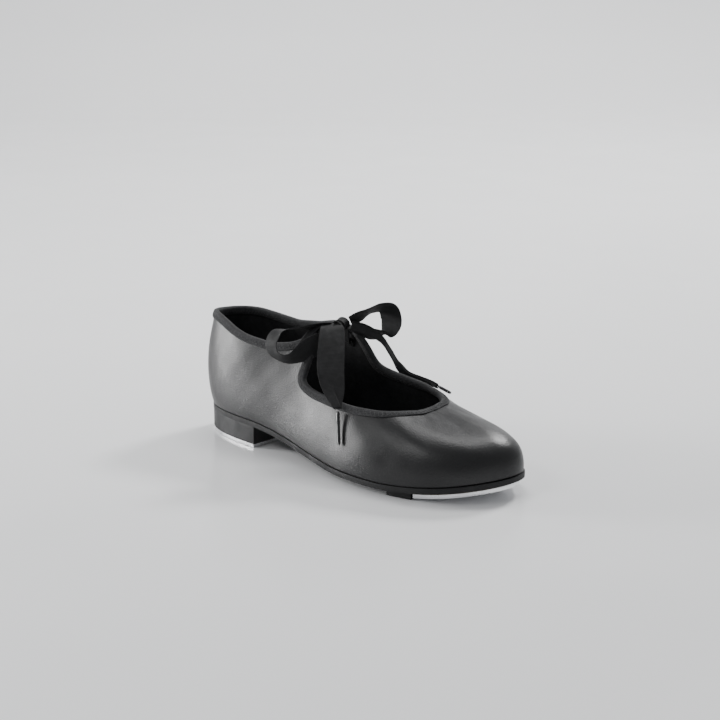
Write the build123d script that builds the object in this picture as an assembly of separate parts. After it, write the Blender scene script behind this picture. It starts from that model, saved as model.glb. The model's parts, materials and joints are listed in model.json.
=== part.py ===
from build123d import *

import math
import os

import numpy as np

# Tap shoe for the right foot, in millimetres. +X runs from heel to toe, +Y is the inner
# (medial) side, +Z is up and z = 0 is the ground under the taps.
# A last is measured from the heel's back edge, so the shape is written in that frame and
# every piece is moved by -CENTRE at the end, which puts the origin under the shoe's middle.

CENTRE = (121.8, -1.55)             # middle of the finished shoe, from the heel's back edge

# Bottom stack
TAP_THICK = 2.6                     # metal of both taps
BOARD_THICK = 1.4                   # fibre board between the toe tap and the outsole
OUTSOLE_THICK = 3.6
HEEL_SEAT = 18.7                    # top of the outsole over the heel
BALL_TOP = TAP_THICK + BOARD_THICK + OUTSOLE_THICK
TOE_SPRING = 6.9                    # rise of the outsole from the ball to the toe tip
ARCH_START, ARCH_END = 50.0, 150.0  # the shank slopes down between these stations
SPRING_START, SPRING_LENGTH = 180.0, 70.0

# Layers of the wall, as depths under its outer face
UPPER_SKIN = (0.0, 1.1)
MIDDLE = (1.2, 1.7)
LINING_SKIN = (1.8, 2.5)
WALL = LINING_SKIN[1]
CLEAR = 0.05                        # hair gap left between neighbouring layers

# Insole stack, as heights over the outsole
MARGIN = (0.05, 1.15)               # lasting margin, filler and shank lie in this layer
INSOLE = (1.25, 3.05)
SOCK = (3.1, 4.1)

BINDING_WIDTH = 4.0
BINDING_THICK = 0.6
BINDING_GAP = 0.12
RIBBON_THICK = 0.6

# Outlines under the foot, as insets from the feather edge
WELT_HEEL, WELT_TOE = -0.3, -0.9    # the outsole stands out more round the forefoot
HEEL_BREAST = 60.0                  # front face of the heel block
HEEL_TURN = -2.6                    # degrees that the heel's front is turned in plan
PAD_BACK, PAD_FRONT = 186.0, 203.0
TOE_TAP_BACK = 204.5
SHANK = (34.0, 132.0, 12.0)         # back, front, width
FILLER_BACK = 136.0

HEEL_SCREWS = [(13, 0), (42, -17), (42, 17)]
TOE_SCREWS = [(211, -24), (211, 25), (235, 4)]
HEEL_NAILS = [(22, 0), (30, -16), (30, 15), (53, -15), (53, 14)]
EYELETS = [(3.17, 0.62), (12.65, 0.70)]          # station, share of the wall's height

# Stations round the last, from the back seam past the outer side to the toe and home.
# feather edge x, y | top of the wall x, y, z | bulge, rise | tuck, drop, forward lean
STATIONS = [
    (-2, 0, 3, 0, 100, 9.5, 30, 3, 26, 0),         # back seam
    (8, -20, 10, -15, 100, 9.0, 30, 3, 26, 0),
    (38, -30, 46, -20, 99, 5.0, 30, 4, 26, 0),     # heel, outer side
    (80, -33, 88, -11, 96, 3.0, 30, 9, 18, 0),     # waist
    (122, -39, 118, -4, 84, 2.5, 26, 20, 8, 6),    # instep
    (162, -45, 140, -4, 70, 2.5, 24, 26, 8, 10),   # ball
    (198, -42, 156, -4, 59, 2.5, 24, 26, 9, 18),
    (230, -27, 166, -3, 52, 2.5, 29, 16, 12, 34),
    (249, 4, 170, 1, 50, 2.5, 32, 0, 13, 48),      # toe tip
    (239, 28, 167, 5, 52, 2.5, 29, 14, 12, 36),
    (208, 40, 156, 6, 58, 2.5, 24, 22, 10, 24),
    (172, 41, 140, 6, 70, 2.5, 24, 24, 8, 14),     # ball, inner side
    (135, 31, 120, 6, 83, 1.0, 26, 18, 8, 6),
    (98, 25, 90, 13, 96, 1.0, 30, 8, 18, 0),       # waist
    (55, 27, 48, 20, 99, 3.0, 30, 4, 26, 0),       # heel, inner side
    (16, 22, 12, 15, 100, 7.5, 30, 3, 26, 0),
]
LAPS = len(STATIONS)

# Topline: station along the last, share of the wall's full height
TOPLINE = [
    (0, 0.765), (0.7, 0.78), (1.2, 0.785), (1.5, 0.76), (1.83, 0.71), (2.1, 0.68),
    (2.6, 0.645), (2.94, 0.68), (3.12, 0.725), (3.3, 0.80), (3.41, 0.905), (3.46, 0.90),
    (3.42, 0.52), (3.48, 0.455), (3.65, 0.44), (3.85, 0.443), (4.23, 0.469), (4.51, 0.495),
    (4.84, 0.526), (5.25, 0.578), (5.65, 0.631), (6.07, 0.70), (6.6, 0.795), (7.2, 0.87),
    (7.8, 0.90), (8.4, 0.895), (9.0, 0.865), (9.7, 0.765), (10.3, 0.68), (10.8, 0.62),
    (11.27, 0.58), (11.6, 0.57), (11.95, 0.565), (12.12, 0.58), (12.16, 0.66), (12.2, 0.88),
    (12.33, 0.90), (12.6, 0.87), (13.1, 0.80), (13.46, 0.745), (14, 0.707), (14.85, 0.748),
    (15.4, 0.752),
]
TOPLINE_ROUNDING = 2.6              # standard deviation of the smoothing along the edge

# Ribbon routes: centre x, y, z and the vector across the ribbon
LOOP_LATERAL = [
    (106.5, -5.8, 91.5, -2, 0, -5), (100, -14, 92.5, -7, -1, -5), (93, -26, 91, -10, -3, -2),
    (86, -35, 86.5, -11, -1, -3), (84, -39.5, 79, -11, 1, -3), (88, -39, 72, -10, 2, -3),
    (96, -34, 69.5, -7, 4, -8), (104.5, -23, 75, -4, 3, -14), (109.3, -6.2, 83.2, -1, 0, -5),
]
LOOP_MEDIAL = [
    (111.5, 6.7, 91.2, -2, 0, -4), (117, 13, 94, -7, 0, -6), (121, 22, 97, -12, 0, -5),
    (125, 29, 95.5, -15, 0, -5), (125.5, 31.5, 87.5, -16, -1, -5),
    (122.5, 28.5, 81, -13, -1, -5), (120.5, 21, 81, -6, 0, -6), (118, 13, 83.2, -3, 0, -5.5),
    (113.6, 6.9, 85.6, -1, 0, -4),
]
TAIL_LATERAL = [
    (108, -6.3, 88.6, 5, 3, 1), (113, -11.5, 86.5, 8, 12, 1), (119.5, -20, 78, 10, 14, 2),
    (127, -28.5, 66, 10.5, 13.5, 2), (134.5, -33.5, 55.5, 9, 10, 1.5),
    (141.7, -38.3, 46.6, 3, 4, 0.5),
]
TAIL_MEDIAL = [
    (115.2, 4, 88.3, 2, 0, -6), (119.5, 9.5, 86.4, 2, 0, -6.5), (124, 15.2, 82.8, 2, 0, -6),
    (127.6, 20.8, 77.4, 1.5, 0, -5), (129.8, 26.5, 68.4, 1.5, 0, -5),
    (132.6, 31.2, 58.9, 1.5, 0, -5), (138.4, 33.6, 53.2, 1, 1, -5),
    (148, 35.6, 51.2, 0, 1, -4.5), (157, 35.4, 50.6, 0, 1, -4), (165, 33.4, 50.4, 0, 1, -3),
]
LEAD_LATERAL = [                     # from the outer eyelet over the tab to the knot
    (92.6, -24.4, 73, 4, 1, 2), (97, -21.4, 80, 5, 2, 1), (100.2, -17.8, 85.6, 5, 2, 1),
    (102.5, -12.5, 89, 4, 2, 0.5), (104, -7.2, 88.2, 3, 1, 0),
]
LEAD_MEDIAL = [                      # up the inner face of the inner side's tab
    (102.6, 13.4, 73.5, 4, 1, -1), (104.8, 10.6, 79, 4.5, 1, -1), (107, 8, 83.2, 4, 1, -1),
    (108.2, 6.7, 85.4, 3, 1, 0),
]
AGLETS = {
    "aglet_lateral": ((142.7, -39.0, 45.2), (149.2, -44.6, 25.5)),
    "aglet_medial": ((165.9, 33.1, 50.4), (180.5, 27.6, 50.2)),
}
AGLET_RADIUS = 1.1
KNOT, KNOT_SIZE = (108.5, 0.5, 89.5), (10, 10, 8)


# ---------------------------------------------------------------- the last's surface

def closed_curve(values, at):
    """C2 cubic curve through evenly spaced values that closes on itself."""
    values = np.asarray(values, float)
    n = len(values)
    waves = np.fft.fft(values, axis=0)
    k = np.arange(n)
    weights = waves / ((4 + 2 * np.cos(2 * math.pi * k / n)) / 6).reshape(-1, *[1] * (values.ndim - 1))
    knots = np.fft.ifft(weights, axis=0).real
    at = np.atleast_1d(np.asarray(at, float))
    base = np.floor(at).astype(int)
    s = (at - base).reshape(-1, *[1] * (values.ndim - 1))
    a, b, c, d = (knots[(base + shift) % n] for shift in (-1, 0, 1, 2))
    return ((1 - s) ** 3 * a + (3 * s ** 3 - 6 * s ** 2 + 4) * b
            + (-3 * s ** 3 + 3 * s ** 2 + 3 * s + 1) * c + s ** 3 * d) / 6


def sole_top(x):
    """Height of the outsole's upper face over the ground."""
    x = np.asarray(x, float)
    s = np.clip((x - ARCH_START) / (ARCH_END - ARCH_START), 0, 1)
    slope = HEEL_SEAT + (BALL_TOP - HEEL_SEAT) * s * s * (3 - 2 * s)
    spring = np.clip((x - SPRING_START) / SPRING_LENGTH, 0, 1.2)
    return slope + TOE_SPRING * spring ** 1.6


def feather(at, inset=0.0):
    """Plan outline of the wall's foot, moved inwards by inset, and its outward direction."""
    xy = closed_curve([s[:2] for s in STATIONS], at)
    step = 1e-3
    ahead = closed_curve([s[:2] for s in STATIONS], np.atleast_1d(at) + step)
    along = (ahead - xy) / np.linalg.norm(ahead - xy, axis=1)[:, None]
    outward = np.stack([along[:, 1], -along[:, 0]], 1)
    return xy - np.reshape(inset, (-1, 1)) * outward, outward


def wall_handles(at):
    """The four handles of each wall curve, without thickness."""
    table = closed_curve(STATIONS, at)
    foot, outward = feather(at)
    out = np.c_[outward, np.zeros(len(foot))]
    up = np.array([0, 0, 1.0])
    ahead = np.array([1.0, 0, 0])
    low = np.c_[foot, sole_top(foot[:, 0]) + CLEAR]
    top = table[:, 2:5]
    belly = low + out * table[:, 5:6] + up * table[:, 6:7]
    shoulder = top + out * table[:, 7:8] - up * table[:, 8:9] + ahead * table[:, 9:10]
    return np.stack([low, belly, shoulder, top], 1)


def blend_weights(w):
    w = np.asarray(w, float)[..., None]
    return np.concatenate([(1 - w) ** 3, 3 * (1 - w) ** 2 * w, 3 * (1 - w) * w * w, w ** 3], -1)


def skin(at, w):
    """Points of the wall's outer face."""
    return np.einsum("ni,nij->nj", blend_weights(w), wall_handles(at))


def normals(at, w):
    """Unit normals of the outer face."""
    step = 1e-3
    across = skin(at + step, w) - skin(at - step, w)
    rise = skin(at, w + step) - skin(at, w - step)
    n = np.cross(across, rise)
    return n / np.linalg.norm(n, axis=1)[:, None]


def inward_handles(at):
    """Handles of the inward direction, exact at the thirds of each wall curve."""
    thirds = np.array([0, 1 / 3, 2 / 3, 1])
    rows = [-normals(at, np.full(len(at), w)) for w in thirds]
    rows[0][:, 2] = 0
    rows[0] /= np.linalg.norm(rows[0], axis=1)[:, None]
    return np.einsum("ij,jnk->nik", np.linalg.inv(blend_weights(thirds)), np.stack(rows))


def cut_handles(handles, w0, w1):
    """Handles of the stretch w0..w1 of each cubic curve."""
    out = np.empty_like(handles)
    for i, (p, a, b) in enumerate(zip(handles, w0, w1)):
        for k, ws in enumerate(((a, a, a), (a, a, b), (a, b, b), (b, b, b))):
            q = p
            for w in ws:
                q = (1 - w) * q[:-1] + w * q[1:]
            out[i, k] = q[0]
    return out


def topline_path(spacing=0.5):
    """The topline as evenly spaced (station, height) pairs with rounded corners."""
    points = np.array(TOPLINE)
    loop = np.vstack([points, points[:1] + [LAPS, 0]])
    fine = np.vstack([np.linspace(a, b, 60, endpoint=False) for a, b in zip(loop, loop[1:])])
    xyz = skin(fine[:, 0], fine[:, 1])
    steps = np.linalg.norm(np.diff(np.vstack([xyz, xyz[:1]]), axis=0), axis=1)
    length = np.concatenate([[0], np.cumsum(steps)])
    count = int(length[-1] / spacing)
    s = np.arange(count) * length[-1] / count
    tail = np.vstack([fine, fine[:1] + [LAPS, 0]])
    pairs = np.stack([np.interp(s, length, tail[:, 0]), np.interp(s, length, tail[:, 1])], 1)
    reach = int(4 * TOPLINE_ROUNDING / spacing)
    kernel = np.exp(-0.5 * (np.arange(-reach, reach + 1) * spacing / TOPLINE_ROUNDING) ** 2)
    kernel /= kernel.sum()
    drift = np.linspace(0, LAPS, count, endpoint=False)
    smooth = pairs.copy()
    smooth[:, 0] -= drift
    wide = np.vstack([smooth[-reach:], smooth, smooth[:reach]])
    smooth = np.stack([np.convolve(wide[:, i], kernel, "valid") for i in (0, 1)], 1)
    smooth[:, 0] += drift
    return smooth


PATH = topline_path()


def top_share(at):
    """Share of the wall's height that the topline leaves at a station."""
    at = np.asarray(at, float) % LAPS
    order = np.argsort(PATH[:, 0] % LAPS)
    stations, shares = (PATH[:, 0] % LAPS)[order], PATH[order, 1]
    return np.interp(at, np.r_[stations[-1] - LAPS, stations, stations[0] + LAPS],
                     np.r_[shares[-1], shares, shares[0]])


# ---------------------------------------------------------------- solids of the wall

def wall_stations(start, end):
    """Stations of a layer's sections, closer at its two ends and where the tabs end."""
    even = np.linspace(start, end, max(4, round((end - start) * 4) + 1))
    gap = even[1] - even[0]
    tabs = np.r_[np.arange(3.3, 3.6, 0.03), np.arange(12.0, 12.36, 0.03)]
    tabs = tabs[(tabs > start + gap) & (tabs < end - gap)]
    lone = [s for s in even if not len(tabs) or np.min(np.abs(tabs - s)) > 0.04]
    ends = [start + 0.12 * gap, start + 0.4 * gap, end - 0.4 * gap, end - 0.12 * gap]
    return np.sort(np.r_[lone, ends, tabs])


def lofted(rings):
    """Closed solid through four-sided rings whose first and third sides are curved."""
    wires = []
    for out, inn in rings:
        wires.append(Wire([
            Edge.make_bezier(*out), Edge.make_line(out[-1], inn[-1]),
            Edge.make_bezier(*reversed(inn)), Edge.make_line(inn[0], out[0]),
        ]))
    ends = [Face.make_surface_from_curves(Edge.make_bezier(*out), Edge.make_bezier(*inn))
            for out, inn in (rings[0], rings[-1])]
    solid = Solid(Shell(list(Solid.make_loft(wires).faces()) + ends))
    return solid if solid.is_valid else solid.fix()


def layer(start, end, depths, top, foot=0.0):
    """Solid of one layer of the wall between two stations.

    top(stations) gives the share of the height where it ends, and foot lifts its lower
    edge off the outsole by that many millimetres."""
    at = wall_stations(start, end)
    outer, inward = wall_handles(at), inward_handles(at)
    low = foot / (3 * (outer[:, 1, 2] - outer[:, 0, 2]))
    high = top(at)
    faces = []
    for depth in depths:
        handles = outer + depth * inward
        handles[:, 0, 2] = sole_top(handles[:, 0, 0]) + CLEAR
        faces.append(cut_handles(handles, low, high))
    return lofted([[[Vector(*p) for p in side] for side in pair] for pair in zip(*faces)])


def walk(at, w, move):
    """Station and height reached from (at, w) by a short move along the wall."""
    step = 1e-3
    across = (skin(at + step, w) - skin(at - step, w)) / (2 * step)
    rise = (skin(at, w + step) - skin(at, w - step)) / (2 * step)
    frame = np.stack([across, rise], 2)
    gram = np.einsum("nji,njk->nik", frame, frame)
    shares = np.linalg.solve(gram, np.einsum("nji,nj->ni", frame, move)[..., None])[..., 0]
    return at + shares[:, 0], w + shares[:, 1]


def eased(values, reach=8):
    """Running minimum of a closed row of values, then averaged over the same stretch."""
    for step in (np.min, np.mean):
        row = np.concatenate([values[-reach:], values, values[:reach]])
        values = step(np.lib.stride_tricks.sliding_window_view(row, 2 * reach + 1), axis=1)
    return values


def topline_binding(spacing=4):
    """Tape folded over the edges of the upper and the lining, round the whole topline."""
    path = np.roll(PATH, -np.argmin(np.abs(PATH[:, 0])), axis=0)
    at, w = path[:, 0], path[:, 1]
    edge, out = skin(at, w), normals(at, w)
    along = np.roll(edge, -2, axis=0) - np.roll(edge, 2, axis=0)
    along /= np.linalg.norm(along, axis=1)[:, None]
    down = np.cross(out, along)
    down *= np.sign(np.sum(down * (skin(at, w - 0.02) - edge)))
    turn = (np.roll(down, -2, axis=0) - np.roll(down, 2, axis=0)) / 2.0
    pinch = -np.einsum("nj,nj->n", turn, along)
    legs = eased(np.minimum(BINDING_WIDTH, 0.5 / np.maximum(pinch, 0.01)))[:, None]
    foot_at, foot_w = walk(at, w, down * legs)
    foot, foot_out = skin(foot_at, foot_w), normals(foot_at, foot_w)
    inner, thick = WALL + BINDING_GAP, BINDING_GAP + BINDING_THICK
    picks = list(range(1, len(path) - 3, spacing)) + [len(path) - 2]
    rings = []
    for i in picks:
        end, side = (foot[i], foot_out[i]) if 0 < picks.index(i) < len(picks) - 1 else (
            edge[i] + down[i] * legs[i], out[i])
        corners = [
            end + side * BINDING_GAP, end + side * thick, edge[i] + out[i] * thick - down[i] * thick,
            edge[i] - out[i] * (inner + BINDING_THICK) - down[i] * thick,
            end - side * (inner + BINDING_THICK), end - side * inner,
            edge[i] - (out[i] * inner + down[i] * BINDING_GAP),
            edge[i] + (out[i] - down[i]) * BINDING_GAP,
        ]
        rings.append(Wire.make_polygon([Vector(*p) for p in corners], close=True))
    return Solid.make_loft(rings, ruled=True)


# ---------------------------------------------------------------- solids of the bottom

def profile(back, front, low, high):
    """Block whose lower and upper faces follow heights given along X."""
    xs = np.linspace(back, front, max(5, int((front - back) / 3.5)))
    reach = 70

    def contour(height):
        points = [Vector(x, -reach, float(height(x))) for x in xs]
        if max(p.Z for p in points) - min(p.Z for p in points) < 1e-6:
            return Edge.make_line(points[0], points[-1])
        return Edge.make_spline(points)

    bottom, top = contour(low), contour(high)
    sides = [Edge.make_line(bottom @ 1, top @ 1), Edge.make_line(top @ 0, bottom @ 0)]
    return extrude(Face(Wire([bottom, sides[0], top, sides[1]])), amount=2 * reach, dir=(0, 1, 0))


def prism(inset):
    """Upright prism of the sole's plan outline; inset is a number or one per station."""
    at = np.linspace(0, LAPS, 64, endpoint=False)
    inset = inset(feather(at)[0][:, 0]) if callable(inset) else inset
    points = [Vector(x, y, -5) for x, y in feather(at, inset)[0]]
    return extrude(Face(Wire([Edge.make_spline(points, periodic=True)])), amount=60, dir=(0, 0, 1))


def sheet(inset, back, front, heights):
    """Sheet that lies over the outsole between two heights above it."""
    low, high = (lambda x, h=h: sole_top(x) + h for h in heights)
    return profile(back, front, low, high) & prism(inset)


def welt(x):
    s = np.clip((x - 90) / 60, 0, 1)
    return WELT_HEEL + (WELT_TOE - WELT_HEEL) * s * s * (3 - 2 * s)


def slope_angle(x):
    """Slope of the outsole at x, in degrees."""
    return math.degrees(math.atan2(float(sole_top(x + 1) - sole_top(x - 1)), 2))


def heel_area(inset, back_gap=0.0):
    """Prism of the heel, cut off along its breast."""
    cut = Pos(HEEL_BREAST - back_gap, 0, 20) * Rot(0, 0, HEEL_TURN) * Box(
        200, 160, 80, align=(Align.MAX, Align.CENTER, Align.CENTER))
    return prism(inset) & cut


def countersunk(x, y, z, length, tilt=0.0):
    """Screw driven upwards from the tap's face, with a flat head."""
    head = Cone(3.4, 1.6, 1.8, align=(Align.CENTER, Align.CENTER, Align.MIN))
    shank = Cylinder(1.6, length, align=(Align.CENTER, Align.CENTER, Align.MIN))
    slot = Box(8, 0.8, 0.8, align=(Align.CENTER, Align.CENTER, Align.MIN))
    return Pos(x, y, z) * Rot(0, -tilt, 0) * (head + shank - slot)


def clearance(x, y, z, length, tilt=0.0):
    """Hole for a countersunk screw; its cone runs on past the tap's face."""
    cone = Cone(4.42, 1.62, 2.8, align=(Align.CENTER, Align.CENTER, Align.MAX))
    shank = Cylinder(1.62, length + 0.02, align=(Align.CENTER, Align.CENTER, Align.MIN))
    return Pos(x, y, z) * Rot(0, -tilt, 0) * (Pos(0, 0, 1.8) * cone + shank)


def nail(x, y, top, length):
    shaft = Cylinder(0.9, length, align=(Align.CENTER, Align.CENTER, Align.MAX))
    head = Cylinder(2.2, 0.5, align=(Align.CENTER, Align.CENTER, Align.MAX))
    return Pos(x, y, top) * (shaft + head)


# ---------------------------------------------------------------- ribbon and fittings

def flow(points, steps=4):
    """Smooth curve through points, with so many steps from each to the next."""
    points = np.array(points, float)
    first, last = 2 * points[0] - points[1], 2 * points[-1] - points[-2]
    ring = np.vstack([first, points, last])
    out = []
    for a, b, c, d in zip(ring, ring[1:], ring[2:], ring[3:]):
        for s in np.arange(steps) / steps:
            out.append(0.5 * (2 * b + (c - a) * s + (2 * a - 5 * b + 4 * c - d) * s ** 2
                              + (3 * b - a - 3 * c + d) * s ** 3))
    return np.array(out + [points[-1]])


def ribbon(stations, thick=RIBBON_THICK):
    """Flat strip through stations of centre and width vector."""
    table = flow(stations)
    centre, across = table[:, :3], table[:, 3:]
    along = np.gradient(centre, axis=0)
    face = np.cross(along, across)
    face *= thick / 2 / np.linalg.norm(face, axis=1)[:, None]
    rings = []
    for c, a, f in zip(centre, across / 2, face):
        corners = (c + a + f, c - a + f, c - a - f, c + a - f)
        rings.append(Wire.make_polygon([Vector(*p) for p in corners], close=True))
    return Solid.make_loft(rings)


def on_wall(at, w, depth):
    """Plane on the wall with its Z along the outward normal."""
    at, w = np.array([at]), np.array([w])
    out = normals(at, w)[0]
    return Plane(origin=tuple(skin(at, w)[0] - depth * out), z_dir=tuple(out))


def eyelet(at, w):
    barrel = Cylinder(2.2, WALL + 0.9) - Cylinder(1.7, 2 * WALL)
    flange = Cylinder(3.4, 0.5, align=(Align.CENTER, Align.CENTER, Align.MIN)) - Cylinder(1.7, 2)
    washer = Cylinder(3.2, 0.4, align=(Align.CENTER, Align.CENTER, Align.MAX)) - Cylinder(1.7, 2)
    outside, inside = Pos(0, 0, WALL / 2 + 0.45) * flange, Pos(0, 0, -WALL / 2 - 0.45) * washer
    return on_wall(at, w, WALL / 2) * (barrel + outside + inside)


def aglet(start, end):
    axis = Vector(*end) - Vector(*start)
    rod = Solid.make_cylinder(AGLET_RADIUS, axis.length, Plane(origin=start, z_dir=axis))
    return rod.fillet(0.5, rod.edges().filter_by(GeomType.CIRCLE))


# ---------------------------------------------------------------- the shoe

def build():
    nodes = {}
    low_skin = lambda x: sole_top(x) - OUTSOLE_THICK

    # bottom
    outsole = profile(-8, 256, low_skin, sole_top) & prism(welt)
    block = heel_area(-0.1) & profile(-8, 66, lambda x: TAP_THICK + 0 * x, lambda x: low_skin(x) - 0.02)
    heel_tap = heel_area(0.6, 1.2) & profile(-8, 66, lambda x: 0 * x, lambda x: TAP_THICK + 0 * x)
    toe_reach = lambda h: (lambda x: low_skin(x) - h)
    board = profile(TOE_TAP_BACK, 256, toe_reach(BOARD_THICK), toe_reach(0.02)) & prism(3.6)
    toe_tap = profile(TOE_TAP_BACK, 256, toe_reach(BOARD_THICK + TAP_THICK),
                      toe_reach(BOARD_THICK + 0.02)) & prism(2.8)
    pad = profile(PAD_BACK, PAD_FRONT, lambda x: 0 * x, toe_reach(0.02)) & prism(3.0)

    heel_screws = [(x, y, 0.0, 11.0) for x, y in HEEL_SCREWS]
    toe_screws = [(x, y, float(low_skin(x)) - BOARD_THICK - TAP_THICK, 6.0, slope_angle(x))
                  for x, y in TOE_SCREWS]
    for screw in heel_screws:
        heel_tap, block = heel_tap - clearance(*screw), block - clearance(*screw)
    for screw in toe_screws:
        toe_tap, board, outsole = (s - clearance(*screw) for s in (toe_tap, board, outsole))

    # insole stack
    insole = sheet(WALL + 0.4, -8, 256, INSOLE)
    sock = sheet(WALL + 0.6, -8, 256, SOCK)
    margin = sheet(UPPER_SKIN[1] + 0.1, -8, 256, MARGIN) - sheet(13, -8, 256, (-1, 3))
    filler = sheet(14, FILLER_BACK, 256, MARGIN)
    back, front, width = SHANK
    strip = Pos((back + front) / 2, -1.5, 20) * Rot(0, 0, -2) * Box(front - back, width, 60)
    shank = profile(back, front, lambda x: sole_top(x) + MARGIN[0], lambda x: sole_top(x) + MARGIN[1])
    shank = shank & strip
    nails = [nail(x, y, float(sole_top(x)) + INSOLE[1] - 0.1, 12.0) for x, y in HEEL_NAILS]
    for peg in nails:
        insole, outsole, block = insole - peg, outsole - peg, block - peg
        margin = margin - peg

    # wall
    shut = 0.02
    upto = lambda share: (lambda at: share + 0 * at)
    upper = layer(shut, LAPS - shut, UPPER_SKIN, top_share)
    lining = layer(shut, LAPS - shut, LINING_SKIN, top_share, 1.35)
    counter = layer(-2.25, 2.25, MIDDLE, upto(0.60), 1.35)
    puff = layer(6.25, 9.75, MIDDLE, upto(0.56), 1.35)
    side_lateral = layer(2.35, 6.15, MIDDLE, upto(0.36), 1.35)
    side_medial = layer(9.85, LAPS - 2.35, MIDDLE, upto(0.42), 1.35)
    backstay = layer(-0.4, 0.4, (-0.85, -0.05), lambda at: top_share(at) - 0.07)

    for hole in (on_wall(at, w, 0) * Cylinder(2.22, 12) for at, w in EYELETS):
        upper, lining = upper - hole, lining - hole
    eyelets = [eyelet(at, w) - upper - lining for at, w in EYELETS]

    # ribbon
    knot = Box(*KNOT_SIZE)
    knot = Pos(*KNOT) * Rot(0, 0, 12) * fillet(knot.edges(), 2.6)
    ribbons = {
        "ribbon_loop_lateral": LOOP_LATERAL, "ribbon_loop_medial": LOOP_MEDIAL,
        "ribbon_tail_lateral": TAIL_LATERAL, "ribbon_tail_medial": TAIL_MEDIAL,
        "ribbon_lead_lateral": LEAD_LATERAL, "ribbon_lead_medial": LEAD_MEDIAL,
    }

    nodes["upper"] = upper
    nodes["lasting_margin"] = margin
    nodes["lining"] = lining
    nodes["heel_counter"] = counter
    nodes["toe_puff"] = puff
    nodes["interlining_lateral"] = side_lateral
    nodes["interlining_medial"] = side_medial
    nodes["backstay"] = backstay
    nodes["topline_binding"] = topline_binding()
    nodes["eyelets"] = Compound(children=[Compound(e.solids()) for e in eyelets])
    nodes["insole_board"] = insole
    nodes["sock_liner"] = sock
    nodes["bottom_filler"] = filler
    nodes["shank"] = shank
    nodes["outsole"] = outsole
    nodes["heel_block"] = block
    nodes["heel_nails"] = Compound(nails)
    nodes["heel_tap"] = heel_tap
    nodes["heel_tap_screws"] = Compound([countersunk(*screw) for screw in heel_screws])
    nodes["toe_tap_board"] = board
    nodes["toe_tap"] = toe_tap
    nodes["toe_tap_screws"] = Compound([countersunk(*screw) for screw in toe_screws])
    nodes["sole_pad"] = pad
    nodes["ribbon_knot"] = knot
    for name, route in ribbons.items():
        nodes[name] = ribbon(route)
    for name, ends in AGLETS.items():
        nodes[name] = aglet(*ends)
    return nodes


if __name__ == "__main__":
    os.makedirs("parts", exist_ok=True)
    shift = Pos(-CENTRE[0], -CENTRE[1], 0)
    boxes = []
    for name, shape in build().items():
        solids = [shift * s for s in shape.solids()]
        placed = solids[0] if len(solids) == 1 else Compound(solids)
        boxes.append(placed.bounding_box())
        print(f"{name:22s} {len(solids)} solids, {placed.volume:9.1f} mm3, valid {placed.is_valid}")
        export_step(placed, f"parts/{name}.step")
    low = [min(getattr(b.min, axis) for b in boxes) for axis in "XYZ"]
    high = [max(getattr(b.max, axis) for b in boxes) for axis in "XYZ"]
    print("box", [round(v, 2) for v in low], [round(v, 2) for v in high])
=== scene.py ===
import json
import math

import bmesh
import bpy
import numpy as np
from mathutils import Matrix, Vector

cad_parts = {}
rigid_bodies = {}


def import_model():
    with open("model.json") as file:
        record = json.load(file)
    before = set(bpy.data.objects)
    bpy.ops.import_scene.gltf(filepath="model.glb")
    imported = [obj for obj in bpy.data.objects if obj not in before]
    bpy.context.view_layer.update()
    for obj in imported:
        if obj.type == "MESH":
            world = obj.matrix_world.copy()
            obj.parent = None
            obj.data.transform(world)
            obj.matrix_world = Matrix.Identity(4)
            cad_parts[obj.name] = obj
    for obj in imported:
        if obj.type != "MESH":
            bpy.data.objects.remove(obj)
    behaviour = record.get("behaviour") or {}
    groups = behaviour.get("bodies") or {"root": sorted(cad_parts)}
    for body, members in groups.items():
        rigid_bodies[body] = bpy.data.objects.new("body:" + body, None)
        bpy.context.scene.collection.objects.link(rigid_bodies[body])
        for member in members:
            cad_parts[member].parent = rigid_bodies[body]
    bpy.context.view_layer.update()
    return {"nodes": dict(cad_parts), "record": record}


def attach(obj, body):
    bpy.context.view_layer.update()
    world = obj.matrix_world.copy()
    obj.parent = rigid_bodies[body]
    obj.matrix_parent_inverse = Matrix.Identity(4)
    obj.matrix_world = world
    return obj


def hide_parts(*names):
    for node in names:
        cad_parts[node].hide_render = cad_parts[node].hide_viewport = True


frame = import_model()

# Shape values are in millimetres, measured from the heel's back edge, as in the CAD part.
# put() moves them to the frame's origin and turns them into metres.
CENTRE = np.array([121.8, -1.55, 0.0])
MM = 0.001
UV_UNIT = 100.0  # millimetres in one unit of a UV map

TAP_THICK, BOARD_THICK, OUTSOLE_THICK = 2.6, 1.4, 3.6
HEEL_SEAT = 18.7
BALL_TOP = TAP_THICK + BOARD_THICK + OUTSOLE_THICK
TOE_SPRING = 6.9
ARCH_START, ARCH_END = 50.0, 150.0
SPRING_START, SPRING_LENGTH = 180.0, 70.0
SPRING_REACH, SPRING_CURVE = 1.2, 1.6
SOLE_GAP = 0.05

# Depths of the wall's layers under its outer face
WALL = 2.5
LINING_DEPTH = (1.8, WALL)
UPPER_DEPTH = (0.0, 1.1)
LINING_LIFT = 1.35  # the lining's foot stands on the insole board

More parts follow.
